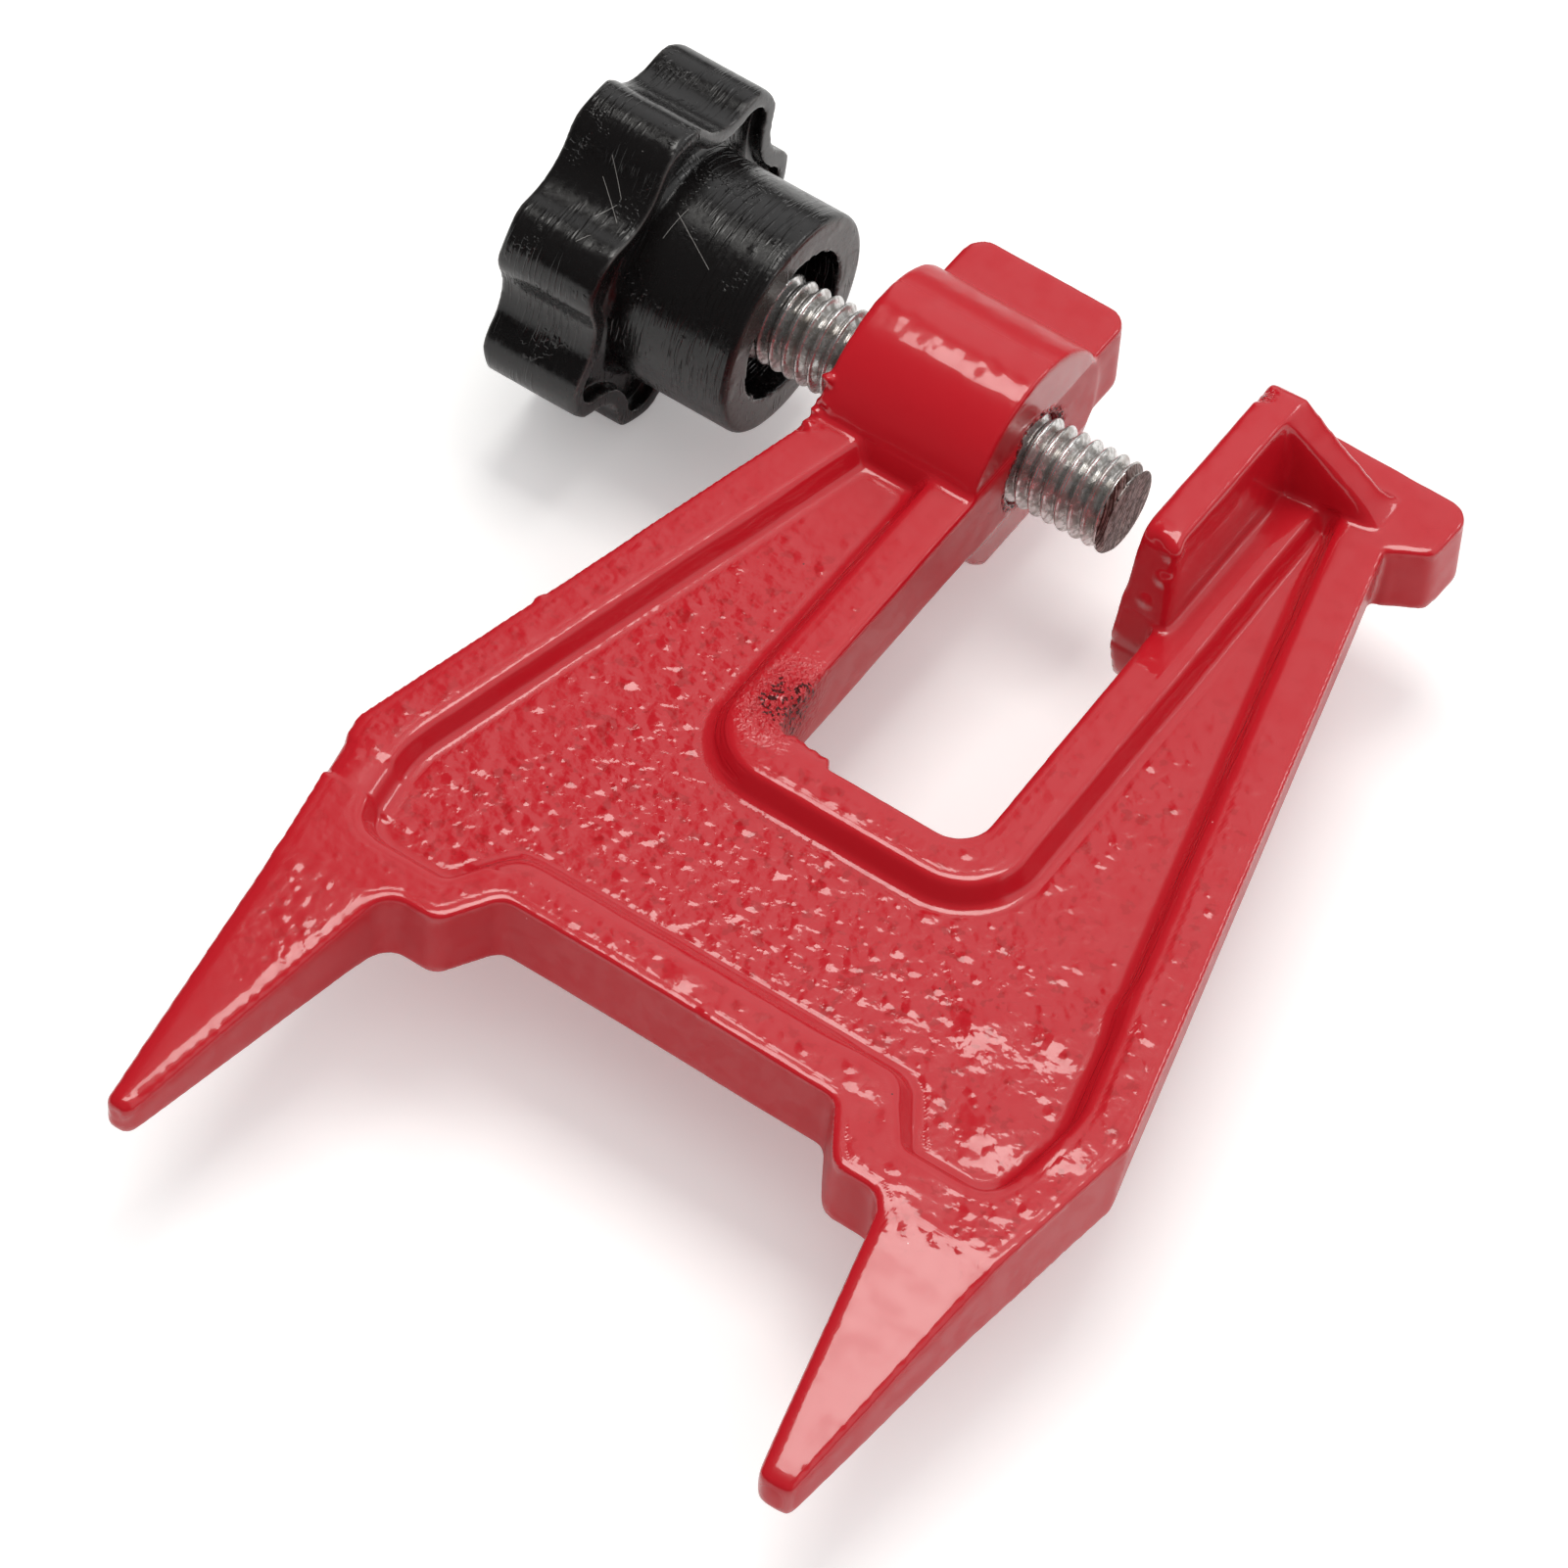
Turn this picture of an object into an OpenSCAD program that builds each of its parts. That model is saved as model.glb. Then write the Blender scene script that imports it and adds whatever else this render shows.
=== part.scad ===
// Chainsaw stump vise: a cast frame that is driven into a stump by two spikes and holds a
// chainsaw guide bar upright between a fixed jaw and the tip of a hand screw.
// X runs along the screw from the knob to the jaw, Y from the spikes to the jaw, Z out of the
// ribbed front. The origin is the middle of the straight bottom edge at mid thickness.

/* [Casting] */
// thickness of the flat casting
plate_t = 11.3; // [10.5:0.1:12.5]
// left shoulder corner, measured from the middle
left_shoulder_x = 55.6; // [54:0.1:58]
// right shoulder corner, measured from the middle
right_shoulder_x = 54.9; // [54:0.1:58]
// height of the left shoulder corner
left_shoulder_y = 12.4; // [9:0.2:16]
// height of the right shoulder corner
right_shoulder_y = 14.6; // [9:0.2:18]
// outer edge of the left arm at the screw axis, measured from the middle
left_arm_x = 34.2; // [33:0.1:36]
// outer edge of the right arm at the screw axis, measured from the middle
right_arm_x = 33.6; // [33:0.1:36]
// amount by which draft narrows the outer edge of each arm at the back
arm_draft = 1.0; // [0.2:0.1:1.6]
// outer side of the left spike at its root
left_side_x = 52.2; // [50:0.1:53]
// outer side of the right spike at its root
right_side_x = 52.0; // [50:0.1:53]
// height at which the spikes begin below the shoulders
spike_root_y = -7.0; // [-8:0.1:-5]
// height of the screw axis over the stump shoulder
screw_y = 98.5; // [94:0.1:103]
// left wall of the guide bar slot, measured from the middle
slot_left = 13.8; // [12.5:0.1:15]
// right wall of the slot at the bottom, measured from the middle
slot_right = 15.3; // [14:0.1:16.5]
// lean of the slot's right wall over its height
slot_right_lean = 0.9; // [0:0.1:1.5]
// height of the slot bottom
slot_y = 39.5; // [35:0.5:43]
// corner radius at the slot bottom
slot_corner_r = 4.5; // [2:0.5:6]

// rounding of the shoulder corners
shoulder_r = 5; // [2:0.5:6]

/* [Bottom edge] */
// left end of the straight bottom edge, measured from the middle
left_edge_x = 25.3; // [23:0.1:27]
// right end of the straight bottom edge
right_edge_x = 22.4; // [21:0.1:25]
// left step where the lower shoulder starts
left_step_x = 29.9; // [28:0.1:31]
// drop of the left lower shoulder
left_step_y = 7.5; // [6:0.1:9]
// right step where the lower shoulder starts
right_step_x = 27.6; // [26:0.1:29]
// drop of the right lower shoulder
right_step_y = 8.7; // [7:0.1:10]
// radius of the corners in the bottom edge
step_r = 2.8; // [1:0.1:3]
// radius of the corners between the lower shoulders and the spikes
root_r = 3.4; // [1:0.1:3.6]

/* [Spikes] */
// inner side of the left spike at its root
left_spike_x = 36.9; // [36:0.1:39]
// inner side of the right spike at its root
right_spike_x = 35.1; // [34.5:0.1:37.5]
// drop of the left spike tip below the shoulder
left_tip_y = 48.5; // [42:0.1:54]
// drop of the right spike tip
right_tip_y = 46.7; // [42:0.1:54]
// middle of the left spike tip
left_tip_x = 46.8; // [45:0.1:48]
// middle of the right spike tip
right_tip_x = 45.8; // [45:0.1:48]
// width of the left spike at its tip
left_tip_w = 3.6; // [3.2:0.1:5]
// width of the right spike at its tip
right_tip_w = 5.0; // [3.2:0.1:5.4]
// corner radius on the inner side of each tip
tip_in_r = 1.7; // [0.5:0.1:1.7]
// corner radius on the outer side of each tip
tip_out_r = 1.2; // [0.5:0.1:1.7]
// thickness of the spikes at the tip
tip_t = 5.4; // [4:0.1:7]
// height where the front faces of the spikes start to slope back
spike_crease_y = -9.3; // [-12:0.1:-9]

/* [Recess] */
// depth of the recess in the front face
recess_depth = 3.0; // [2:0.1:4]
// width of the sloped recess wall
recess_slope_w = 1.8; // [0.5:0.1:2.4]
// width of the rib along the left outer edge
left_rib_w = 6.9; // [6:0.1:8]
// width of the rib along the right outer edge
right_rib_w = 6.9; // [6:0.1:9]
// width of the rib along the slot
slot_rib_w = 6.3; // [5.5:0.1:7]
// width of the rib under the slot
slot_bottom_rib_w = 6.1; // [5:0.1:7]
// corner radius of the recess around the slot
recess_slot_r = 8.5; // [6.5:0.5:10]
// width of the rib above the straight bottom edge
bottom_rib_w = 6.8; // [6:0.1:8]
// depth to which the recess reaches down above the spikes
recess_low_y = -1.9; // [-3:0.1:0]
// distance from the middle at which the recess starts to dip
recess_dip_x = 27.0; // [25:0.1:29]
// width of the sloped part of that dip
recess_dip_w = 5.4; // [3:0.1:7]
// radius of the recess corners over the shoulders
recess_shoulder_r = 5.0; // [2:0.5:6]
// radius of the bend of the recess wall beside the shoulders
recess_bend_r = 16.0; // [10:1:20]
// radius of the recess corners along the bottom
recess_bottom_r = 3.0; // [1:0.5:3.5]
// inward turn of the recess wall below the left shoulder
left_turn_x = 2.1; // [1:0.1:3]
// inward turn of the recess wall below the right shoulder
right_turn_x = 2.6; // [1:0.1:3]

/* [Boss and pads] */
// outer radius of the screw boss
boss_r = 15.3; // [14.5:0.1:17]
// left end of the boss, measured from the middle
boss_left = 38.0; // [37:0.1:40]
// right end of the boss, measured from the middle
boss_right = 14.3; // [13.5:0.1:15.5]
// distance of the flat back of the boss behind the plate
boss_back = 6.7; // [3:0.1:9]
// top of the left striking pad
left_pad_y = 121.2; // [118:0.1:125]
// top of the right striking pad
right_pad_y = 120.4; // [118:0.1:125]
// left end of the left pad, measured from the middle
left_pad_x = 38.1; // [37:0.1:39]
// right end of the left pad, measured from the middle
left_pad_in_x = 14.6; // [14.4:0.1:16]
// right end of the right pad, measured from the middle
right_pad_x = 36.8; // [35.5:0.1:38.5]
// height of the underside of the right pad at its outer end
right_pad_low_y = 111.4; // [111:0.1:114]
// height over which the right arm flares out under its pad
pad_flare = 3.0; // [1:0.1:5]
// radius of that flare and of the lower outer corner of the pad
pad_flare_r = 2.0; // [0.5:0.1:2.2]
// amount by which the outer end of the right pad leans in at its underside
pad_end_lean = 0.4; // [0:0.1:1]
// corner radius of the pads
pad_r = 3.2; // [1:0.1:3.6]

/* [Jaw] */
// clamping face of the jaw at the parting plane, measured from the middle
jaw_x = 8.9; // [8:0.1:11]
// lean of the clamping face from the parting plane to the front end of the jaw
jaw_lean = 0.9; // [0:0.1:1.6]
// thickness of the jaw at its front end
jaw_w = 5.2; // [5:0.1:6.5]
// thickness added by draft where the jaw meets the plate
jaw_draft = 1.1; // [0:0.1:2]
// height of the jaw over the front face
jaw_rise = 13.3; // [11:0.1:15]
// depth of the jaw behind the back face
jaw_back = 3.6; // [2:0.1:6]
// lower end of the jaw at the parting plane
jaw_low_y = 80.4; // [79:0.1:83]
// lower end of the jaw at its front end
jaw_low_front_y = 83.9; // [83.4:0.1:86]
// distance of the jaw's lowest edge in front of the parting plane
jaw_low_z = 1.5; // [0:0.1:3]
// rise of the lower end of the jaw behind that edge
jaw_low_rise = 1.6; // [0:0.1:3]
// upper end of the jaw
jaw_high_y = 113.9; // [112:0.1:116]
// swelling of the upper end of the jaw at the parting plane
jaw_swell = 0.4; // [0:0.1:1]
// drop of the upper end of the jaw at its back
jaw_high_drop = 1.0; // [0:0.1:2]
// lean of the clamping face behind the parting plane
jaw_back_lean = 0.2; // [0:0.1:0.6]
// corner radius at the front end of the jaw
jaw_r = 2.4; // [0.5:0.1:3]
// thickness of the gusset behind the jaw
gusset_w = 5.0; // [4:0.1:6]
// distance of the gusset's upper side under the upper end of the jaw
gusset_inset = 0.8; // [0.5:0.1:2]
// step from the front end of the jaw down to the gusset
gusset_step = 0.3; // [0.2:0.1:1]
// point where the gusset runs out on the plate
gusset_end_x = 28.5; // [28:0.5:32]
// sideways drift of the gusset towards the pad
gusset_drift = 3.0; // [1:0.1:4]

/* [Clamp screw] */
// diameter over the thread crests
screw_d = 12.3; // [12.1:0.05:12.6]
// position of the screw tip, measured from the middle
screw_tip_x = -0.2; // [-2:0.1:4]
// chamfer at the screw tip
screw_chamfer = 0.8; // [0.3:0.1:1.2]
// radial clearance of the thread in the boss
thread_gap = 0.08; // [0.02:0.01:0.1]

/* [Star knob] */
// radius of the hub
hub_r = 15.5; // [14:0.1:17]
// face of the hub, measured from the middle
hub_x = -50.3; // [-54:0.1:-50]
// front of the star grip
star_x = -67.1; // [-69:0.1:-66]
// thickness of the star grip
star_t = 14.4; // [12:0.1:17]
// radius over the lobe tips
star_tip_r = 24.4; // [23.5:0.1:25]
// radius of the circle on each lobe
lobe_r = 6.1; // [5.6:0.1:6.4]
// number of lobes
lobes = 7; // [7:1:8]
// direction of the first lobe
lobe_turn = -9.8; // [-20:0.1:20]
// radius of the grip core between the lobes
star_core_r = 22.0; // [21.6:0.1:22.4]
// radius of the round valley between two lobes
valley_r = 8.2; // [7.5:0.1:9]
// radius at the bottom of a valley
valley_root_r = 20.2; // [19.6:0.1:20.6]
// depth of the dished front of the grip
dish_depth = 2.0; // [1:0.1:3]
// width of the lip around the dish
dish_lip = 2.3; // [1.5:0.1:3]
// rounding of the grip rims
rim_r = 1.2; // [0.5:0.1:2]
// rounding of the hub's rim
hub_rim_r = 0.8; // [0.3:0.1:1.2]
// fillet between the hub and the grip
hub_fillet_r = 1.6; // [0.5:0.1:2]
// radius of the recess in the hub face
hub_recess_r = 10.5; // [9.6:0.1:12]
// depth of the recess in the hub face
hub_recess_depth = 12.0; // [8:0.5:14]

/* [Threaded insert] */
// outer radius of the insert
insert_r = 9.0; // [8.5:0.1:9.5]
// length of the insert
insert_len = 10.0; // [8:0.5:11]
// length of screw seated in the knob behind the insert
seat_len = 4.0; // [3:0.5:5]
// space behind the end of the screw in the knob
seat_gap = 0.3; // [0.1:0.1:1]
// radial clearance around and inside the insert
insert_gap = 0.05; // [0.03:0.01:0.1]

/* [Hidden] */
$fn = 96;
// half the plate thickness: the parting plane lies in the middle of the casting
half_t = plate_t / 2;
// small overlap that joins solids of one casting
join = 0.4;
// shift of a rounding towards its corner, so that it crosses both edges instead of grazing them
nudge = 0.01;
// longer than any cut needs
clear_len = 80;
// how far a cutting body goes past the faces that it cuts
beyond = 1;
// width of the cutting bodies inside the edge that they slope
wedge_w = 3;
screw_r = screw_d / 2;
bore_r = screw_r + thread_gap;
// the arms lean inward by this much for each millimetre of height
left_lean = (left_shoulder_x - left_arm_x) / (screw_y - left_shoulder_y);
right_lean = (right_shoulder_x - right_arm_x) / (screw_y - right_shoulder_y);
jaw_front_z = half_t + jaw_rise;
jaw_top_x = jaw_x + jaw_lean;
jaw_back_z = -half_t - jaw_back;
recess_slot_y = slot_y - slot_bottom_rib_w;
recess_z = half_t - recess_depth;
star_back_x = star_x - star_t;
insert_x = hub_x - hub_recess_depth;
screw_end_x = insert_x - insert_len - seat_len;
lobe_at = star_tip_r - lobe_r;
valley_at = valley_root_r + valley_r;

red = [0.62, 0.05, 0.07];
zinc = [0.72, 0.73, 0.75];
black = [0.03, 0.03, 0.035];
steel = [0.55, 0.55, 0.56];

function unit(v) = v / norm(v);
// outer edges of the arms at height y
function left_arm(y) = left_arm_x + (screw_y - y) * left_lean;
function right_arm(y) = right_arm_x + (screw_y - y) * right_lean;
// slot's right wall at height y
function slot_wall(y) = slot_right - slot_right_lean * (y - slot_y) / (screw_y - slot_y);

// sliver between a sharp corner and its rounding: added to an inner corner, cut from an outer one
module corner(a, b, c, r) {
  u = unit(a - b);
  w = unit(c - b);
  half = acos(u * w) / 2;
  reach = r / tan(half);
  centre = b + unit(u + w) * r / sin(half);
  difference() {
    polygon([b - unit(u + w) * join, b + u * reach, centre, b + w * reach]);
    translate(centre - unit(u + w) * nudge) circle(r);
  }
}

// corner points of the left side, from the bottom edge round the spike to the top pad
left_edge = [-left_edge_x, 0];
left_step = [-left_step_x, -left_step_y];
left_root = [-left_spike_x, -left_step_y];
left_tip_in = [-left_tip_x + left_tip_w / 2, -left_tip_y];
left_tip_out = [-left_tip_x - left_tip_w / 2, -left_tip_y];
left_side = [-left_side_x, spike_root_y];
left_shoulder = [-left_shoulder_x, left_shoulder_y];
left_arm_top = [-left_pad_x, screw_y - (left_pad_x - left_arm_x) / left_lean];
left_pad_out = [-left_pad_x, left_pad_y];
left_pad_in = [-left_pad_in_x, left_pad_y];

// corner points of the right side
right_edge = [right_edge_x, 0];
right_step = [right_step_x, -right_step_y];
right_root = [right_spike_x, -right_step_y];
right_tip_in = [right_tip_x - right_tip_w / 2, -right_tip_y];
right_tip_out = [right_tip_x + right_tip_w / 2, -right_tip_y];
right_side = [right_side_x, spike_root_y];
right_shoulder = [right_shoulder_x, right_shoulder_y];
right_pad_arm = [right_arm(right_pad_low_y - pad_flare), right_pad_low_y - pad_flare];
right_pad_low = [right_pad_x - pad_end_lean, right_pad_low_y];
right_pad_out = [right_pad_x, right_pad_y];
right_pad_in = [slot_wall(right_pad_y), right_pad_y];

slot_low_left = [-slot_left, slot_y];
slot_low_right = [slot_right, slot_y];

// flat shape of the casting seen from the front
module plate_outline() {
  difference() {
    union() {
      polygon([
        left_edge, left_step, left_root, left_tip_in, left_tip_out, left_side, left_shoulder,
        left_arm_top, left_pad_out, left_pad_in, [-left_pad_in_x, screw_y], [-slot_left, screw_y],
        slot_low_left,
        slot_low_right, right_pad_in, right_pad_out, right_pad_low, right_pad_arm,
        right_shoulder, right_side, right_tip_out, right_tip_in, right_root, right_step,
        right_edge
      ]);
      corner(right_edge, left_edge, left_step, step_r);
      corner(left_step, left_root, left_tip_in, root_r);
      corner(left_edge, right_edge, right_step, step_r);
      corner(right_step, right_root, right_tip_in, root_r);
      corner([-slot_left, screw_y], slot_low_left, slot_low_right, slot_corner_r);
      corner(slot_low_left, slot_low_right, right_pad_in, slot_corner_r);
      corner(right_shoulder, right_pad_arm, right_pad_low, pad_flare_r);
    }
    corner(left_edge, left_step, left_root, step_r);
    corner(right_edge, right_step, right_root, step_r);
    corner(left_root, left_tip_in, left_tip_out, tip_in_r);
    corner(left_tip_in, left_tip_out, left_side, tip_out_r);
    corner(right_root, right_tip_in, right_tip_out, tip_in_r);
    corner(right_tip_in, right_tip_out, right_side, tip_out_r);
    corner(left_side, left_shoulder, left_arm_top, shoulder_r);
    corner(right_side, right_shoulder, right_pad_arm, shoulder_r);
    corner(left_arm_top, left_pad_out, left_pad_in, pad_r);
    corner(left_pad_out, left_pad_in, [-left_pad_in_x, screw_y], pad_r);
    corner(right_pad_in, right_pad_out, right_pad_low, pad_r);
    corner(right_pad_out, right_pad_low, right_pad_arm, pad_flare_r);
  }
}

// the recess is cut with sloped walls that go on past the front face and the floor; skirt is how
// far the outline of the cut then lies outside the visible edge of the recess
over = 0.5;
skirt = over * recess_slope_w / recess_depth;
wall_h = recess_depth + over;
// the recess ends under the boss on the left and under the gusset on the right
recess_left_top_y = screw_y - boss_r / 2;
recess_top_y = jaw_high_y - gusset_w + 1.5;
left_rib_x = left_rib_w - skirt;
right_rib_x = right_rib_w - skirt;
slot_rib_x = slot_rib_w - skirt;
recess_floor_y = recess_low_y - skirt;
recess_sill_y = bottom_rib_w - skirt;

// corners of the recess, counter-clockwise, each with its radius
recess_corners = [
  [-left_arm(recess_left_top_y) + left_rib_x, recess_left_top_y, 0],
  [-left_arm(left_shoulder_y) + left_rib_x, left_shoulder_y, recess_bend_r],
  [-left_arm(left_shoulder_y) + left_rib_x + left_turn_x, recess_floor_y, recess_shoulder_r],
  [-recess_dip_x - recess_dip_w, recess_floor_y, recess_bottom_r],
  [-recess_dip_x, recess_sill_y, recess_bottom_r],
  [recess_dip_x, recess_sill_y, recess_bottom_r],
  [recess_dip_x + recess_dip_w, recess_floor_y, recess_bottom_r],
  [right_arm(left_shoulder_y) - right_rib_x - right_turn_x, recess_floor_y, recess_shoulder_r],
  [right_arm(left_shoulder_y) - right_rib_x, left_shoulder_y, recess_bend_r],
  [right_arm(recess_top_y) - right_rib_x, recess_top_y, 0],
  [slot_wall(recess_top_y) + slot_rib_x, recess_top_y, 0],
  [slot_right + slot_rib_x, slot_y - slot_bottom_rib_w + skirt, recess_slot_r],
  [-slot_left - slot_rib_x, slot_y - slot_bottom_rib_w + skirt, recess_slot_r],
  [-slot_left - slot_rib_x, recess_left_top_y, 0]
];
corner_count = len(recess_corners);

function at(i) = recess_corners[(i + corner_count) % corner_count];
function point(i) = [at(i)[0], at(i)[1]];
function before(i) = unit(point(i - 1) - point(i));
function after(i) = unit(point(i + 1) - point(i));
function half_angle(i) = acos(before(i) * after(i)) / 2;
function centre(i) = point(i) + unit(before(i) + after(i)) * at(i)[2] / sin(half_angle(i));
function reach(i) = at(i)[2] / tan(half_angle(i));
// true where the wall bends around a rib, false where it bends into the recess
function around_rib(i) = at(i)[2] > 0 && cross(before(i), after(i)) > 0;
// points on the rounding of a corner that bends into the recess
corner_steps = 3;
function rounding(i) = [
  for (k = [0 : corner_steps])
    let (
      from = point(i) + before(i) * reach(i) - centre(i),
      turn = (180 - 2 * half_angle(i)) * k / corner_steps
    )
    centre(i) + [
      from[0] * cos(turn) - from[1] * sin(turn), from[0] * sin(turn) + from[1] * cos(turn)
    ]
];
function corner_points(i) =
  at(i)[2] == 0 ? [point(i)]
  : around_rib(i) ? [point(i) + before(i) * reach(i), point(i) + after(i) * reach(i)]
  : rounding(i);

// sloped body left standing along the wall from a to b; tail lengthens it at each end
module sloped_wall(a, b, tail_a, tail_b) {
  u = unit(b - a);
  start = a - u * tail_a;
  reach_in = recess_slope_w / recess_depth;
  translate([start[0], start[1], recess_z]) rotate([0, 0, atan2(u[1], u[0])])
    rotate([90, 0, 90]) linear_extrude(norm(b - a) + tail_a + tail_b)
      polygon([
        [-wedge_w, -beyond], [reach_in * (wall_h + beyond), -beyond], [-reach_in * beyond, wall_h + beyond],
        [-wedge_w, wall_h + beyond]
      ]);
}

// cone left standing around a rib corner
module sloped_corner(i) {
  reach_in = recess_slope_w / recess_depth;
  bulge = 0.03;
  translate([centre(i)[0], centre(i)[1], recess_z - beyond])
    cylinder(
      h = wall_h + 2 * beyond,
      r1 = at(i)[2] + bulge + reach_in * (wall_h + beyond),
      r2 = at(i)[2] + bulge - reach_in * beyond);
}

// body that is cut out of the front face
module recess_cut() {
  outline = [for (i = [0 : corner_count - 1]) each corner_points(i)];
  difference() {
    translate([0, 0, recess_z]) linear_extrude(wall_h) polygon(outline);
    for (i = [0 : corner_count - 1]) {
      here = corner_points(i);
      next = corner_points((i + 1) % corner_count);
      tail_here = around_rib(i) ? 0.3 : 1;
      tail_next = around_rib((i + 1) % corner_count) ? 0.3 : 1;
      sloped_wall(here[len(here) - 1], next[0], tail_here, tail_next);
      if (around_rib(i)) sloped_corner(i);
      if (len(here) > 2)
        for (k = [0 : len(here) - 2]) sloped_wall(here[k], here[k + 1], 1, 1);
    }
  }
}

// flat side of the jaw, drawn with Y to the right and Z up
jaw_low_front = [jaw_low_front_y, jaw_front_z];
jaw_high_front = [jaw_high_y, jaw_front_z];
jaw_low_mid = [jaw_low_y, jaw_low_z];
jaw_high_mid = [jaw_high_y + jaw_swell, 0];
jaw_low_back = [jaw_low_y + jaw_low_rise, jaw_back_z];
jaw_high_back = [jaw_high_y - jaw_high_drop, jaw_back_z];
module jaw_side() {
  difference() {
    polygon([jaw_low_front, jaw_low_mid, jaw_low_back, jaw_high_back, jaw_high_mid, jaw_high_front]);
    corner(jaw_low_mid, jaw_low_front, jaw_high_front, jaw_r);
    corner(jaw_low_front, jaw_high_front, jaw_high_mid, jaw_r);
    corner(jaw_low_mid, jaw_low_back, jaw_high_back, jaw_r);
    corner(jaw_low_back, jaw_high_back, jaw_high_mid, jaw_r);
  }
}

// end view of the jaw with its draft, drawn with X to the right and Z up
module jaw_end() {
  jaw_foot_x = jaw_top_x + jaw_w + jaw_draft;
  polygon([
    [jaw_x, 0], [jaw_x + jaw_back_lean, jaw_back_z], [jaw_foot_x, jaw_back_z], [jaw_foot_x, half_t - 1],
    [jaw_top_x + jaw_w, jaw_front_z], [jaw_top_x, jaw_front_z]
  ]);
}

module jaw() {
  intersection() {
    rotate([90, 0, 90]) linear_extrude(clear_len) jaw_side();
    translate([0, 2 * clear_len, 0]) rotate([90, 0, 0]) linear_extrude(2 * clear_len) jaw_end();
  }
}

// web that braces the front end of the jaw against the right arm
module gusset() {
  top_y = jaw_high_y - gusset_inset;
  from_x = jaw_top_x + 2;
  crest_z = jaw_front_z - gusset_step;
  crest_x = jaw_top_x + jaw_w;
  // the crest and the web go on a little past the point where they run out on the plate
  past = 1.5;
  to_x = gusset_end_x + past;
  fall = (crest_z - half_t) / (gusset_end_x - crest_x);
  intersection() {
    translate([0, 0, recess_z - join]) linear_extrude(clear_len)
      polygon([
        [from_x, top_y - gusset_w], [to_x, top_y - gusset_w + gusset_drift],
        [to_x, top_y + gusset_drift], [from_x, top_y]
      ]);
    translate([0, 2 * clear_len, 0]) rotate([90, 0, 0]) linear_extrude(2 * clear_len)
      polygon([
        [from_x, recess_z - join], [to_x, recess_z - join], [to_x, half_t - fall * past],
        [crest_x, crest_z], [from_x, crest_z]
      ]);
  }
}

// cylinder along the screw axis between two positions
module along_screw(from_x, to_x, r) {
  translate([from_x, screw_y, 0]) rotate([0, 90, 0]) cylinder(h = to_x - from_x, r = r);
}

// wedge that takes the draft off the edge from a to b, with the casting on its left
module edge_draft(a, b) {
  u = unit(b - a);
  slope = arm_draft / plate_t;
  skin = 0.1;
  translate([a[0], a[1], 0]) rotate([0, 0, atan2(u[1], u[0])])
    rotate([90, 0, 90]) linear_extrude(norm(b - a))
      polygon([
        [skin - slope * beyond, half_t + beyond],
        [skin + arm_draft + slope * beyond, -half_t - beyond],
        [-wedge_w, -half_t - beyond], [-wedge_w, half_t + beyond]
      ]);
}

// round boss that carries the screw, cut flat behind the plate
module screw_boss() {
  intersection() {
    along_screw(-boss_left, -boss_right, boss_r);
    translate([-boss_left - beyond, screw_y - boss_r - beyond, -half_t - boss_back])
      cube([boss_left - boss_right + 2 * beyond, 2 * (boss_r + beyond), clear_len]);
  }
}

// front half-space that slopes back from the crease to the spike tips
module spike_slope() {
  low = max(left_tip_y, right_tip_y);
  fall = (plate_t - tip_t) / (low + spike_crease_y);
  translate([-clear_len, 0, 0]) rotate([90, 0, 90]) linear_extrude(2 * clear_len)
    polygon([
      [spike_crease_y + 1, half_t + fall], [-low - 2, tip_t - half_t - 2 * fall],
      [-low - 2, half_t + 2], [spike_crease_y + 1, half_t + 2]
    ]);
}

// sand-cast frame: spiked plate with two arms, screw boss, striking pads, jaw and gusset
module cast_frame() {
  color(red)
  difference() {
    union() {
      difference() {
        translate([0, 0, -half_t]) linear_extrude(plate_t) plate_outline();
        recess_cut();
        spike_slope();
        edge_draft(right_shoulder + unit(right_shoulder - right_pad_arm) * 10, right_pad_arm);
        edge_draft(left_arm_top, left_shoulder + unit(left_shoulder - left_arm_top) * 10);
      }
      screw_boss();
      jaw();
      gusset();
    }
    along_screw(-boss_left - 1, -boss_right + 1, bore_r);
  }
}

// threaded steel rod, drawn at its crest diameter
module clamp_screw() {
  color(zinc)
  translate([screw_end_x, screw_y, 0]) rotate([0, 90, 0])
    rotate_extrude()
      polygon([
        [0, 0], [screw_r, 0], [screw_r, screw_tip_x - screw_end_x - screw_chamfer],
        [screw_r - screw_chamfer, screw_tip_x - screw_end_x], [0, screw_tip_x - screw_end_x]
      ]);
}

// lobed shape of the grip; inset moves its whole edge inward
module star_shape(inset) {
  difference() {
    union() {
      circle(star_core_r - inset);
      for (i = [0 : lobes - 1])
        rotate(lobe_turn + i * 360 / lobes) translate([lobe_at, 0]) circle(lobe_r - inset);
    }
    for (i = [0 : lobes - 1])
      rotate(lobe_turn + (i + 0.5) * 360 / lobes) translate([valley_at, 0])
        circle(valley_r + inset);
  }
}

// turned outline that rounds the rims of the grip
module grip_turning() {
  inner = star_tip_r - rim_r;
  rotate_extrude() {
    square([inner, star_t]);
    translate([0, rim_r]) square([star_tip_r, star_t - 2 * rim_r]);
    translate([inner, rim_r]) circle(rim_r);
    translate([inner, star_t - rim_r]) circle(rim_r);
  }
}

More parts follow.
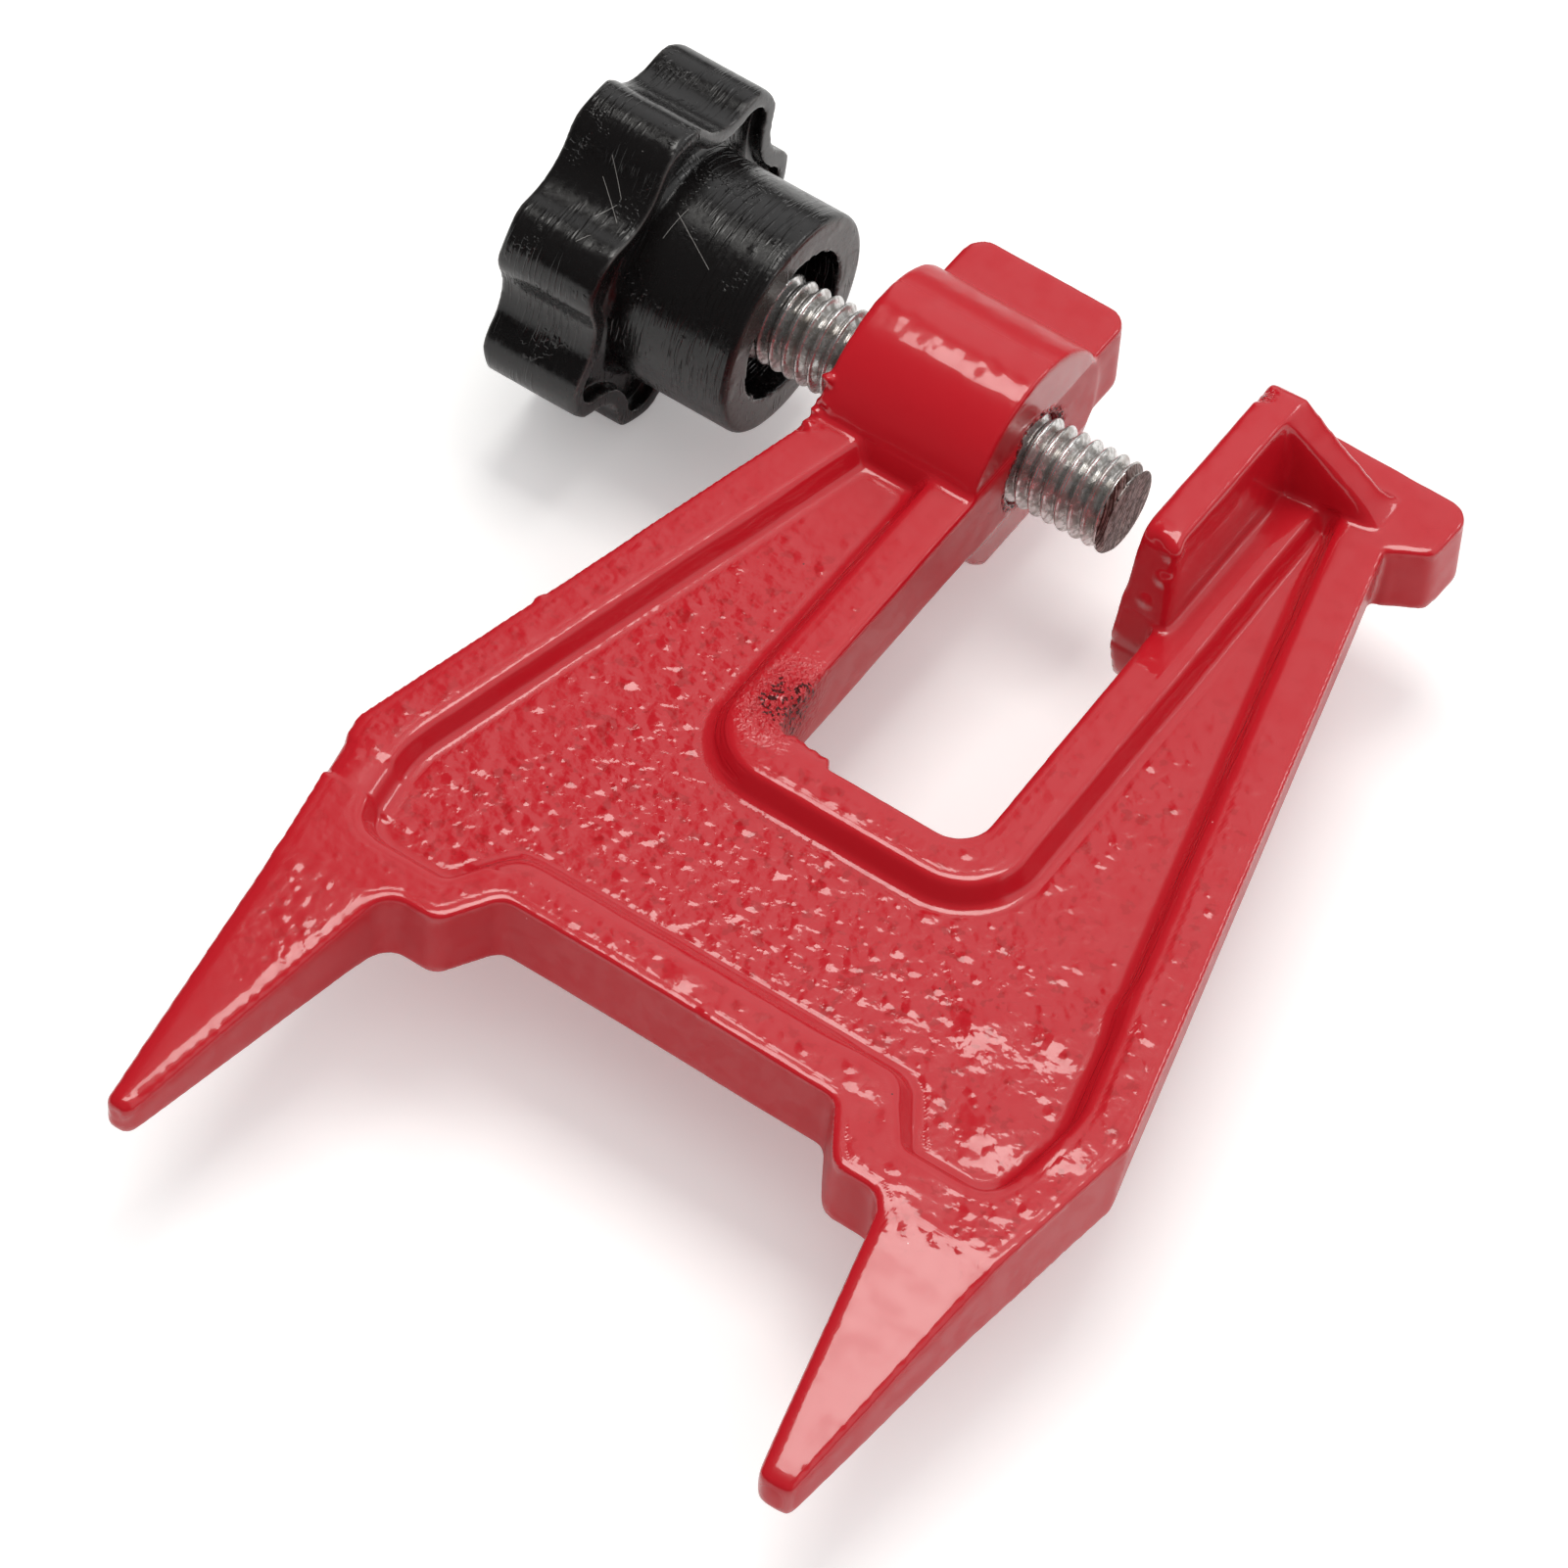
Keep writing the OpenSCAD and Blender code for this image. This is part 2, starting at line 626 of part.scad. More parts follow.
// moulded knob: lobed grip with a dished front, and a hub with a deep round recess
module star_knob() {
  dish_x = star_x - dish_depth;
  color(black)
  difference() {
    union() {
      difference() {
        translate([star_back_x, screw_y, 0]) rotate([90, 0, 90]) intersection() {
          linear_extrude(star_t) star_shape(0);
          grip_turning();
        }
        translate([dish_x, screw_y, 0]) rotate([90, 0, 90])
          linear_extrude(dish_depth + join) star_shape(dish_lip);
      }
      along_screw(dish_x - join, hub_x - hub_rim_r, hub_r);
      along_screw(dish_x - join, hub_x, hub_r - hub_rim_r);
      translate([hub_x - hub_rim_r, screw_y, 0]) rotate([0, 90, 0])
        rotate_extrude() translate([hub_r - hub_rim_r, 0]) circle(hub_rim_r);
      translate([dish_x, screw_y, 0]) rotate([0, 90, 0])
        rotate_extrude() difference() {
          translate([hub_r - join, -join]) square([hub_fillet_r + join, hub_fillet_r + join]);
          translate([hub_r + hub_fillet_r, hub_fillet_r]) circle(hub_fillet_r);
        }
    }
    along_screw(insert_x, hub_x + 1, hub_recess_r);
    along_screw(insert_x - insert_len - insert_gap, insert_x + 1, insert_r + insert_gap);
    along_screw(screw_end_x - seat_gap, insert_x, screw_r);
  }
}

// threaded steel bush moulded into the bottom of the hub recess
module knob_insert() {
  color(steel)
  difference() {
    along_screw(insert_x - insert_len, insert_x, insert_r);
    along_screw(insert_x - insert_len - 1, insert_x + 1, screw_r + insert_gap);
  }
}

cast_frame();
clamp_screw();
star_knob();
knob_insert();
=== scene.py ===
# Chainsaw stump vise: a red enamelled casting with two spikes, a zinc plated clamping screw and a
# black moulded star knob. It lies on a pale floor with its ribbed front up.
import bpy
import math
import numpy as np
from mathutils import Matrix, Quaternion, Vector


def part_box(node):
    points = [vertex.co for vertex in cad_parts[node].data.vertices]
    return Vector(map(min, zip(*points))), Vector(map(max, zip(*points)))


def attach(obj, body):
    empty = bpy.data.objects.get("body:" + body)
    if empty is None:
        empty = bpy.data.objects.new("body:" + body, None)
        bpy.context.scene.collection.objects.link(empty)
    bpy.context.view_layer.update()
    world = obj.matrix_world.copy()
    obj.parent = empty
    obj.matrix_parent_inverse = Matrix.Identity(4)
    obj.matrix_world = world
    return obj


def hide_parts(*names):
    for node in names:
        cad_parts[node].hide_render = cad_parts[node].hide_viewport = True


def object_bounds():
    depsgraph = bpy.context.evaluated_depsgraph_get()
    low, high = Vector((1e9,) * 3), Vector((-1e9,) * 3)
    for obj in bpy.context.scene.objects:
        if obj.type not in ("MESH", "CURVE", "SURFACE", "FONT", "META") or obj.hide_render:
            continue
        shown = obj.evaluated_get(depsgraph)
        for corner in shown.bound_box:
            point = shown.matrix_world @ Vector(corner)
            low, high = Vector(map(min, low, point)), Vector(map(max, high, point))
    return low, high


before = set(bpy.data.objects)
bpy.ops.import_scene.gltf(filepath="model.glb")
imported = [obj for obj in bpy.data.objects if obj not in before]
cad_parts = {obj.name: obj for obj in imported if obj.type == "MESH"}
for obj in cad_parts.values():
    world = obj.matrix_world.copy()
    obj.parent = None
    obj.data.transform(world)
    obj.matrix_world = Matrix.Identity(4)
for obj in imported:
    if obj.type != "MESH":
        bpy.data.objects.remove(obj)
cad_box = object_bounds()

# View. The camera stands over the spikes and looks down on the ribbed front with a long lens.
# The picture is square, and the whole vise fills it.
mm = 0.001
view_target = Vector((-10.33, 37.89, 0.0)) * mm
view_distance = 1186.3 * mm
view_azimuth = math.radians(30.42)
view_elevation = math.radians(52.45)
view_roll = math.radians(4.92)
lens_length = 224.8
sensor_width = 36
sight_limit = 20

towards_camera = Vector((
    math.sin(view_azimuth) * math.cos(view_elevation),
    -math.cos(view_azimuth) * math.cos(view_elevation),
    math.sin(view_elevation),
))
camera = bpy.data.objects.new("camera", bpy.data.cameras.new("camera"))
bpy.context.scene.collection.objects.link(camera)
camera.data.sensor_width = sensor_width
camera.data.lens = lens_length
camera.data.clip_end = sight_limit
camera.location = view_target + towards_camera * view_distance
level = (-towards_camera).to_track_quat("-Z", "Y")
camera.rotation_mode = "QUATERNION"
camera.rotation_quaternion = level @ Quaternion((0, 0, 1), view_roll)
bpy.context.scene.camera = camera
bpy.context.scene.view_settings.view_transform = "Standard"


# Floor. A plain pale board under the vise, dull, so that it only takes soft shadows. It lies just
# low enough for the knob's lobes to turn above it.
floor_half = 4.0
floor_z = cad_box[0].z - 1.6 * mm
floor_lit = (0.84, 0.84, 0.835)
floor_white = (0.97, 0.97, 0.965)
floor_lift = 0.22


def new_material(name):
    """A new material, its node tree and its shader."""
    material = bpy.data.materials.new(name)
    material.use_nodes = True
    return material, material.node_tree, material.node_tree.nodes["Principled BSDF"]


def feed(tree, socket, value):
    """Links a socket to another node's output, or sets it to a plain value."""
    if isinstance(value, bpy.types.NodeSocket):
        tree.links.new(value, socket)
    else:
        socket.default_value = value


def number_node(tree, operation, *values):
    node = tree.nodes.new("ShaderNodeMath")
    node.operation = operation
    for socket, value in zip(node.inputs, values):
        feed(tree, socket, value)
    return node.outputs[0]


def mixed_colour(tree, share, first, second):
    node = tree.nodes.new("ShaderNodeMix")
    node.data_type = "RGBA"
    tree.links.new(share, node.inputs["Factor"])
    for socket, value in zip((node.inputs[6], node.inputs[7]), (first, second)):
        feed(tree, socket, value + (1,) if isinstance(value, tuple) else value)
    return node.outputs[2]


floor_mesh = bpy.data.meshes.new("floor")
floor_mesh.from_pydata(
    [(-floor_half, -floor_half, floor_z), (floor_half, -floor_half, floor_z),
     (floor_half, floor_half, floor_z), (-floor_half, floor_half, floor_z)],
    [], [(0, 1, 2, 3)],
)
floor = bpy.data.objects.new("floor", floor_mesh)
bpy.context.scene.collection.objects.link(floor)
floor_paint, floor_tree, floor_shader = new_material("floor_paint")
floor_rays = floor_tree.nodes.new("ShaderNodeLightPath").outputs
floor_seen = number_node(
    floor_tree, "MAXIMUM", floor_rays["Is Camera Ray"], floor_rays["Is Glossy Ray"])
feed(floor_tree, floor_shader.inputs["Base Color"],
     mixed_colour(floor_tree, floor_seen, floor_lit, floor_white))
# to the camera alone its shade is a little paler
feed(floor_tree, floor_shader.inputs["Emission Strength"],
     number_node(floor_tree, "MULTIPLY", floor_rays["Is Camera Ray"], floor_lift))
floor_shader.inputs["Emission Color"].default_value = (1, 1, 1, 1)
floor_shader.inputs["Roughness"].default_value = 0.9
floor_shader.inputs["Specular IOR Level"].default_value = 0.1
floor_mesh.materials.append(floor_paint)


# Light. A small studio: a soft box overhead, a white wall behind the vise and a dark side behind
# the camera. A broad dome fills the shadows and shows in no reflection.
box_centre = Vector((-0.125, 0.323, 1.0))
box_size = (0.487, 0.40)
box_radiance = 6.7
box_colour = (1.0, 0.985, 0.95)
strip_centre = Vector((0.76, 1.18, 0.95))
strip_size = (0.34, 0.34)
strip_radiance = 5.0
dome_centre = Vector((0.5, -0.3, 2.0))
dome_size = (2.4, 2.4)
dome_radiance = 0.62
# the wall begins where a direction's Y and half its X add up to this, and ends above the floor
wall_start = (0.265, 0.42)
wall_strength = (0.05, 0.88)
wall_foot = (0.1, 0.42)
foot_strength = (0.12, 1.0)
fill_strength = 0.52


def area_light(name, centre, aim, size, radiance, reflected):
    lamp = bpy.data.lights.new(name, "AREA")
    lamp.shape = "RECTANGLE"
    lamp.size, lamp.size_y = size
    lamp.energy = radiance * math.pi * size[0] * size[1]
    light = bpy.data.objects.new(name, lamp)
    bpy.context.scene.collection.objects.link(light)
    light.location = centre
    light.rotation_mode = "QUATERNION"
    light.rotation_quaternion = (aim - centre).to_track_quat("-Z", "Y")
    light.visible_glossy = reflected
    light.visible_camera = False
    return light


def range_node(tree, value, source, target=(0.0, 1.0), smooth=False):
    """A value taken from one range to another and kept inside it."""
    node = tree.nodes.new("ShaderNodeMapRange")
    if smooth:
        node.interpolation_type = "SMOOTHSTEP"
    for label, end in zip(("From Min", "From Max", "To Min", "To Max"), source + target):
        feed(tree, node.inputs[label], end)
    feed(tree, node.inputs["Value"], value)
    return node.outputs[0]


def mixed_number(tree, share, first, second):
    node = tree.nodes.new("ShaderNodeMix")
    node.data_type = "FLOAT"
    for socket, value in zip((node.inputs[0], node.inputs[2], node.inputs[3]),
                             (share, first, second)):
        feed(tree, socket, value)
    return node.outputs[0]


soft_box = area_light(
    "soft_box", box_centre, box_centre - Vector((0, 0, 1)), box_size, box_radiance, True)
soft_box.data.color = box_colour
area_light("strip", strip_centre, view_target, strip_size, strip_radiance, True)
area_light("dome", dome_centre, view_target, dome_size, dome_radiance, False)

world = bpy.data.worlds.new("studio")
bpy.context.scene.world = world
world.use_nodes = True
studio = world.node_tree
split_direction = studio.nodes.new("ShaderNodeSeparateXYZ")
studio.links.new(
    studio.nodes.new("ShaderNodeTexCoord").outputs["Generated"], split_direction.inputs[0])
wall_side = number_node(
    studio, "MULTIPLY_ADD", split_direction.outputs["X"], 0.5, split_direction.outputs["Y"])
white_wall = number_node(
    studio, "MULTIPLY",
    range_node(studio, wall_side, wall_start, wall_strength, smooth=True),
    range_node(studio, split_direction.outputs["Z"], wall_foot, foot_strength, smooth=True))
studio_rays = studio.nodes.new("ShaderNodeLightPath").outputs
wall_light = mixed_number(studio, studio_rays["Is Diffuse Ray"], white_wall, fill_strength)
background = studio.nodes["Background"]
feed(studio, background.inputs["Strength"],
     mixed_number(studio, studio_rays["Is Camera Ray"], wall_light, 1.0))
background.inputs["Color"].default_value = (1, 1, 1, 1)


# Frame. One sand casting in iron: two spikes, a ribbed body, the screw boss, two striking pads and
# the jaw with its gusset. It is dipped in thick red enamel, which rounds the edges, sags into
# beads along them and hides the sand's grain only in part.
casting_voxel = 0.32
# rounds of smoothing for each state of the skin
tight_rounds = 4
skin_rounds = 6
loose_rounds = 45
soft_rounds = 50
edge_dip = 0.55
mould_shift = 0.08
jaw_shift = 0.5
# broad shallow mounds on the lower right: place and reach
broad_mounds = [
    ((30.6, 21.0, 2.6), 6.0), ((38.5, 24.5, 2.6), 7.0), ((43.0, 31.5, 2.6), 6.0),
    ((40.5, 8.5, 2.6), 6.5), ((47.5, 10.0, 5.6), 6.0),
]
broad_height = 0.4
# lumps, drips and runs: place, reach and height
drips = [
    ((-1.4, 4.2, 5.6), 3.4, 0.2),
    ((3.6, 0.4, 5.4), 1.2, 0.35),
    ((-48.9, 40.2, 5.0), 1.4, 0.5),
    ((15.0, 83.6, 17.6), 2.6, 0.55),
    ((14.2, 82.6, 13.0), 1.6, 0.4),
    ((12.6, 81.9, 8.6), 1.5, 0.3),
    ((12.4, 84.6, 18.6), 1.6, 0.3),
    ((-46.6, -47.6, -1.0), 2.4, 0.5),
    ((46.2, 31.0, 2.6), 2.6, 0.12),
]
burnt_corner = (-14.8, 45.0, 4.0)
burnt_reach = 9.5
hollow_centre = (-12.6, 44.2, 5.4)
hollow_reach = 3.6
# crumbs of flash: place and reach
flash_crumbs = [((-37.9, 86.9, 10.0), 2.2), ((-38.2, 84.6, 6.6), 2.4), ((-38.0, 82.4, 5.4), 2.0)]
chip_corner = (10.2, 110.8, 19.2)
chip_reach = 2.3
torn_radius = 6.6
box_margin = 0.01


def remeshed(name, cad_node, voxel):
    """An even mesh over a CAD node, with squares of about that size in millimetres."""
    source = bpy.data.objects.new(name + "_source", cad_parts[cad_node].data.copy())
    bpy.context.scene.collection.objects.link(source)
    remesh = source.modifiers.new("remesh", "REMESH")
    remesh.mode = "VOXEL"
    remesh.voxel_size = voxel * mm
    remesh.adaptivity = 0
    solid = source.evaluated_get(bpy.context.evaluated_depsgraph_get())
    mesh = bpy.data.meshes.new_from_object(solid)
    bpy.data.objects.remove(source)
    mesh.name = name
    mesh.materials.clear()
    piece = bpy.data.objects.new(name, mesh)
    bpy.context.scene.collection.objects.link(piece)
    mesh.shade_smooth()
    return piece


def points_of(mesh):
    flat = np.empty(len(mesh.vertices) * 3)
    mesh.vertices.foreach_get("co", flat)
    return flat.reshape(-1, 3) / mm


def put_points(mesh, points):
    mesh.vertices.foreach_set("co", (points * mm).ravel())
    mesh.update()


def normals_of(mesh):
    flat = np.empty(len(mesh.vertices) * 3)
    mesh.vertex_normals.foreach_get("vector", flat)
    return flat.reshape(-1, 3)


def smoothed(mesh, points, rounds):
    """Points after so many rounds in which each moves halfway to the middle of its neighbours."""
    pairs = np.empty(len(mesh.edges) * 2, int)
    mesh.edges.foreach_get("vertices", pairs)
    a, b = pairs.reshape(-1, 2).T
    count = len(points)
    degree = np.bincount(a, minlength=count) + np.bincount(b, minlength=count)
    for _ in range(rounds):
        middle = np.stack([
            np.bincount(a, points[b, k], count) + np.bincount(b, points[a, k], count)
            for k in range(3)
        ], axis=1) / degree[:, None]
        points = points + 0.5 * (middle - points)
    return points


def ripple(points, size, seed):
    """Smooth noise from -1 to 1 with lumps of about that size in millimetres."""
    cell = points / size
    base = np.floor(cell).astype(np.int64)
    t = cell - base
    t = t * t * (3 - 2 * t)
    total = np.zeros(len(points))
    for corner in range(8):
        step = np.array([corner & 1, corner >> 1 & 1, corner >> 2 & 1])
        at = base + step
        key = at[:, 0] * 73856093 ^ at[:, 1] * 19349663 ^ at[:, 2] * 83492791 ^ seed * 2654435761
        key = (key ^ key >> 13) * 1274126177 & 0xFFFFFFFF
        value = (key ^ key >> 16) / 0x7FFFFFFF - 1
        weight = np.prod(np.where(step == 1, t, 1 - t), axis=1)
        total += value * weight
    return total


def relief(points, *layers):
    """Ripples on top of each other, each given as its size, its height and a seed."""
    return sum(height * ripple(points, size, seed) for size, height, seed in layers)


def ease(value, low, high):
    """0 at low and 1 at high, with a smooth rise between them."""
    t = np.clip((value - low) / (high - low), 0, 1)
    return t * t * (3 - 2 * t)


def within(value, start, full_from, full_to, end):
    """1 from full_from to full_to, falling smoothly to 0 at start and at end."""
    return ease(value, start, full_from) * ease(value, end, full_to)


def beside(value, middle, full, reach):
    """1 as far as full from the middle, falling smoothly to 0 at that reach."""
    return ease(np.abs(value - middle), reach, full)


def near(points, centre, reach):
    """1 at the centre, falling smoothly to 0 at that reach."""
    return ease(np.linalg.norm(points - np.array(centre), axis=1), reach, 0)


def blended(points, other, share):
    """Points moved by a share of the way to where another state of the skin has them."""
    return points + (other - points) * share[:, None]


def pushed(points, direction, height):
    """Points moved by a height each, along one direction or each along its own."""
    return points + direction * height[:, None]


def add_layer(mesh, name, values):
    """Keeps one number at each point of a mesh, for its material to read."""
    layer = mesh.attributes.new(name, "FLOAT", "POINT")
    layer.data.foreach_set("value", values.astype(np.float32))


casting = remeshed("casting", "cast_frame", casting_voxel)
casting_mesh = casting.data
raw = points_of(casting_mesh)
tight = smoothed(casting_mesh, raw, tight_rounds)
loose = smoothed(casting_mesh, raw, loose_rounds)
soft = smoothed(casting_mesh, loose, soft_rounds)
put_points(casting_mesh, tight)
out = normals_of(casting_mesh)
# positive on edges, negative in inner corners, where the enamel gathers
bulge = np.einsum("ij,ij->i", tight - loose, out)
bend = np.abs(bulge)

# parts of the casting: each is 1 on its part and 0 elsewhere
x, y, z = tight.T
on_plate = ease(np.abs(z), 6.3, 5.9)
flatness = ease(np.abs(out[:, 2]), 0.5, 0.9)
body = ease(y, 84, 52) * on_plate
low_right = ease(x, 0, 40) * ease(y, 60, 15)
low_wall = within(y, 2.4, 3.4, 8.0, 9.5) * ease(x, 22, 16) * ease(z, 2.0, 2.4)
low_edge = within(y, -8, -6, 2.5, 3.5)
rib_tops = ease(z, 3.6, 4.8) * ease(x, 38, 26)
spikes = ease(y, -8, -14)
right_spike = ease(x, 20, 30) * ease(y, -8, -16)
left_spike = ease(-x, 20, 30) * ease(y, -8, -16)
left_root = ease(-x, 28, 42) * within(y, -16, -10, 0, 14)
right_step = beside(x, 26, 5, 9) * beside(y, -7, 6, 10)
jaw_part = ease(z, 6.5, 9.5) * ease(x, 7, 9)
jaw_foot = ease(z, -0.6, -1.4) * near(tight, (10.5, 81.0, -4.0), 6)
gusset = ease(x, 14, 24) * ease(z, 5.2, 6.5) * ease(y, 98, 102)
boss_back = ease(x, -8, -10) * ease(z, 5, 7) * ease(y, 94, 98) * ease(out[:, 1], 0.1, 0.4)

# the enamel rounds every edge and gathers in the corners; the spikes, the jaw and its gusset are
# rounded most, and the bottom edge stays crisp
skin = smoothed(casting_mesh, tight, skin_rounds)
skin = blended(skin, loose, 0.02 + 0.16 * ease(-bulge, 0.05, 0.35))
skin = blended(skin, loose, 0.55 * jaw_part)
skin = blended(skin, soft, np.maximum(0.8 * gusset, 0.9 * low_wall))
skin = blended(skin, tight, 0.9 * low_edge)
skin = blended(skin, loose, 0.8 * spikes)

# the halves of the mould sat a little off each other, and the bottom edge dips to the right
skin[:, 1] -= edge_dip * within(x, -15, 22, 24, 30) * within(y, -10, -6, 3, 9)
skin[:, 0] += mould_shift * z * right_step
skin[:, 1] -= jaw_shift * jaw_foot

# swell of the sand mould's face, most on the lower right, least along edges and by the bottom rib
calm = 1 - 0.88 * right_spike
inland = (1 - 0.75 * ease(bend, 0.005, 0.04)) * (1 - 0.75 * ease(y, 9.5, 7) * ease(x, 24, 18))
swell = relief(skin, (8, 0.02, 1))
swell += low_right * calm * inland * flatness * relief(skin, (6.0, 0.12, 5), (2.8, 0.035, 6))
swell += (1 - on_plate) * relief(skin, (5.0, 0.03, 16), (1.7, 0.02, 17))
for place, reach in broad_mounds:
    swell += broad_height * near(skin, place, reach) * (1 + relief(skin, (3.0, 0.2, 20)))
# the outer walls wander a little, because the pattern was drawn out of loose sand
swell += (1 - flatness) * on_plate * relief(skin, (11, 0.07, 3), (3.5, 0.02, 4))
# edges where the enamel has crept into small beads
swell += ease(bulge, 0.1, 0.3) * relief(skin, (1.3, 0.02, 8), (3.1, 0.025, 9))
skin = pushed(skin, out, swell)

drop = np.zeros(len(skin))
for place, reach, height in drips:
    mound = near(skin, place, reach)
    drop = np.maximum(drop, mound)
    skin = pushed(skin, out, height * mound)

# burnt-on sand in the corner of the slot, a broken hollow beside it and a tongue of stray iron
burnt = near(skin, burnt_corner, burnt_reach)
skin = pushed(skin, out, burnt * relief(skin, (1.0, 0.16, 11), (1.8, 0.12, 12)))
hollow = near(skin, hollow_centre, hollow_reach)
skin = pushed(skin, np.array([-0.5, 0.0, -0.9]), 1.1 * hollow * (1 + relief(skin, (1.1, 0.3, 13))))
tongue = within(x, -12.8, -11.0, -6.2, -5.0) * beside(y, 40.0, 0.4, 2.0) * beside(z, 3.6, 1.2, 2.6)
skin = pushed(skin, np.array([0.0, 1.0, 0.1]), 1.5 * tongue * (1 + relief(skin, (0.9, 0.25, 14))))

# crumbs of flash where the left end of the boss meets the plate
flash = np.zeros(len(skin))
for place, reach in flash_crumbs:
    flash = np.maximum(flash, near(skin, place, reach))
skin = pushed(skin, out, flash * (0.3 + relief(skin, (1.1, 1.2, 15))))

# the screw's hole was cleared after dipping, which left a torn ring of enamel round its mouth
hole_low, hole_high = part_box("clamp_screw")
hole_y = (hole_low.y + hole_high.y) / 2 / mm
hole_z = (hole_low.z + hole_high.z) / 2 / mm
from_hole = np.hypot(y - hole_y, z - hole_z)
torn = beside(from_hole, torn_radius, 0.5, 1.3) * ease(np.abs(out[:, 0]), 0.6, 0.9) * ease(x, 2, -2)
skin = pushed(skin, out, torn * (relief(skin, (0.9, 0.3, 18)) - 0.1))
# a corner of the jaw broke off under the enamel
chip = near(skin, chip_corner, chip_reach)
skin = pushed(skin, np.array([0.3, -0.5, -0.8]), 0.8 * chip * (1 + relief(skin, (0.9, 0.5, 19))))
cast_low, cast_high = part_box("cast_frame")
skin = np.clip(skin, np.array(cast_low) / mm + box_margin, np.array(cast_high) / mm - box_margin)
put_points(casting_mesh, skin)

# how strongly the sand's grain shows through the enamel
coarse = flatness * (0.15 + 0.85 * body) * (1 - 0.92 * right_spike)
coarse *= 1 - left_spike * (0.4 + 0.5 * ease(y, -18, -30))
coarse *= (1 - 0.45 * left_root) * (1 - 0.4 * rib_tops)
coarse *= (1 + relief(skin, (13, 0.5, 10))) * (1 - drop) * (1 - 0.8 * ease(bend, 0.01, 0.06))
add_layer(casting_mesh, "coarse", np.maximum(coarse, burnt))
# where it is dull: on the steep walls and behind the boss
steep = (1 - ease(np.abs(out[:, 2]), 0.25, 0.6)) * on_plate * ease(bend, 0.25, 0.1)
add_layer(casting_mesh, "dull", np.maximum(steep, boss_back))
# where bare sand and iron show
add_layer(casting_mesh, "burnt", np.maximum(burnt, np.maximum(0.9 * torn, 0.75 * chip)))
# fine runs along the sloping walls of the recessed panels
slope = within(out[:, 2], 0.25, 0.4, 0.65, 0.8) * ease(-out[:, 0], 0.1, 0.3)
add_layer(casting_mesh, "runs", slope * on_plate * ease(z, 2.2, 2.8))
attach(casting, "casting")
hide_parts("cast_frame")


def node_group(name, inputs, output):
    """A group with a vector and the given numbers going in and one number coming out."""
    group = bpy.data.node_groups.new(name, "ShaderNodeTree")
    group.interface.new_socket("Vector", in_out="INPUT", socket_type="NodeSocketVector")
    for label, value in inputs:
        socket = group.interface.new_socket(label, in_out="INPUT", socket_type="NodeSocketFloat")
        socket.default_value = value
    group.interface.new_socket(output, in_out="OUTPUT", socket_type="NodeSocketFloat")
    return group, group.nodes.new("NodeGroupInput").outputs, group.nodes.new("NodeGroupOutput")


def place_group(tree, group, vector, **values):
    node = tree.nodes.new("ShaderNodeGroup")
    node.node_tree = group
    tree.links.new(vector, node.inputs["Vector"])
    for label, value in values.items():
        node.inputs[label].default_value = value
    return node.outputs[0]


def product(tree, first, *others):
    for other in others:
        first = number_node(tree, "MULTIPLY", first, other)
    return first


def summed(tree, first, *others):
    for other in others:
        first = number_node(tree, "ADD", first, other)
    return first


def vector_node(tree, operation, first, second=None):
    node = tree.nodes.new("ShaderNodeVectorMath")
    node.operation = operation
    for socket, value in zip(node.inputs, (first, second)):
        if value is not None:
            feed(tree, socket, value)
    return node.outputs


def object_place(tree):
    return tree.nodes.new("ShaderNodeTexCoord").outputs["Object"]


def layer_value(tree, name):
    node = tree.nodes.new("ShaderNodeAttribute")
    node.attribute_name = name
    return node.outputs["Fac"]


def bumped(tree, height, shader):
    """Feeds a height in millimetres to the shader's normal."""
    bump = tree.nodes.new("ShaderNodeBump")
    bump.inputs["Strength"].default_value = 1
    bump.inputs["Distance"].default_value = mm
    tree.links.new(height, bump.inputs["Height"])
    tree.links.new(bump.outputs["Normal"], shader.inputs["Normal"])
    tree.links.new(bump.outputs["Normal"], shader.inputs["Coat Normal"])


# grain of a surface: noise of a size in millimetres, cut to the part between low and high
grain_group, grain_in, grain_out = node_group(
    "grain", (("Size", 1.0), ("Detail", 2.0), ("Low", 0.3), ("High", 0.7)), "Height")
grain_noise = grain_group.nodes.new("ShaderNodeTexNoise")
feed(grain_group, grain_noise.inputs["Vector"], grain_in["Vector"])
feed(grain_group, grain_noise.inputs["Scale"],
     number_node(grain_group, "DIVIDE", 1 / mm, grain_in["Size"]))
feed(grain_group, grain_noise.inputs["Detail"], grain_in["Detail"])
feed(grain_group, grain_out.inputs["Height"],
     range_node(grain_group, grain_noise.outputs["Fac"],
                (grain_in["Low"], grain_in["High"]), smooth=True))


def cell_grid(group, inputs):
    """Cells of a spacing in millimetres: distance from the middle, and 1 in a share of them."""
    cells = group.nodes.new("ShaderNodeTexVoronoi")
    feed(group, cells.inputs["Vector"], inputs["Vector"])
    feed(group, cells.inputs["Scale"], number_node(group, "DIVIDE", 1 / mm, inputs["Spacing"]))
    draw = group.nodes.new("ShaderNodeSeparateColor")
    feed(group, draw.inputs["Color"], cells.outputs["Color"])
    chosen = number_node(group, "LESS_THAN", draw.outputs["Red"], inputs["Share"])
    return cells.outputs["Distance"], chosen


